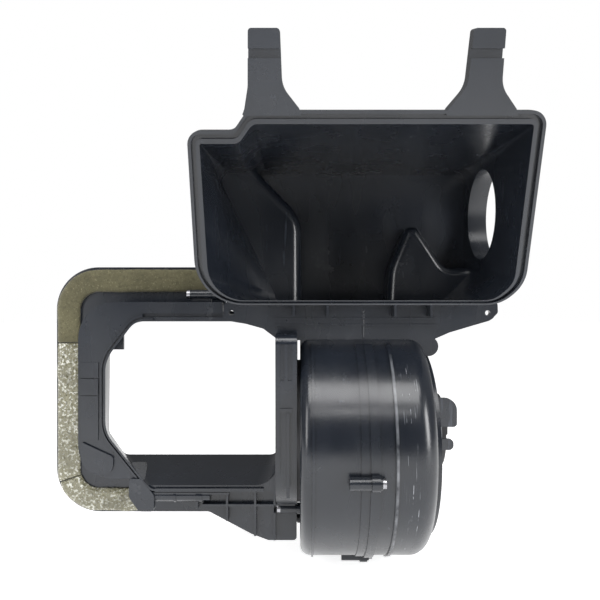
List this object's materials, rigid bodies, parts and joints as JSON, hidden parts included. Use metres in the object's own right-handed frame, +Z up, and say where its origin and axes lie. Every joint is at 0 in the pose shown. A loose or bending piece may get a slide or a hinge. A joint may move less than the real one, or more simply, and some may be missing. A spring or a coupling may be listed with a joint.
{
  "type": "blower and filter housing",
  "caption": "Black moulded blower housing: open hopper mouth with hook arms, side duct port, scroll drum with fan and motor, and a filter frame with a foam-faced flange.",
  "frame": {"origin": "midway between the two fixing holes, on the front face of the plate under the mouth", "axes": "+X to the right along the fan's axis, +Y away from the mouth's side, +Z up towards the hook arms"},
  "size_m": [0.441, 0.2487, 0.4537],
  "materials": {
    "black_plastic": "satin black moulding",
    "foam_felt": "matt olive foam",
    "foam_skin": "crinkled glossy skin over foam",
    "zinc_steel": "zinc plated",
    "black_screw": "blackened steel",
    "wheel_plastic": "matt black",
    "shaft_steel": "ground",
    "bronze": "sintered",
    "copper": "turned",
    "magnet": "dark ceramic",
    "carbon": "pressed carbon",
    "rubber": "matt",
    "terminal_tin": "tin plated"
  },
  "bodies": {
    "housing": {"left_shell": "black_plastic", "right_shell": "black_plastic", "filter_frame": "black_plastic", "foam_top": "foam_felt", "foam_side": "foam_skin", "foam_corner": "foam_skin", "shell_screws": "black_screw", "frame_screws": "black_screw", "inlet_ring": "wheel_plastic", "motor_can": "zinc_steel", "motor_end_cap": "wheel_plastic", "front_bush": "bronze", "rear_bush": "bronze", "motor_magnets": "magnet", "brush_holder": "wheel_plastic", "brushes": "carbon", "isolator_ring": "rubber", "motor_flange": "black_plastic", "motor_flange_screws": "black_screw", "connector_socket": "wheel_plastic", "terminals": "terminal_tin"},
    "rotor": {"blower_wheel": "wheel_plastic", "wheel_clip": "zinc_steel", "motor_shaft": "shaft_steel", "armature": "shaft_steel", "commutator": "copper"}
  },
  "joints": [
    {"name": "wheel_spin", "type": "hinge", "parent": "housing", "child": "rotor", "pos_m": [0, 0.028, -0.112], "axis": [1, 0, 0], "continuous": true}
  ]
}
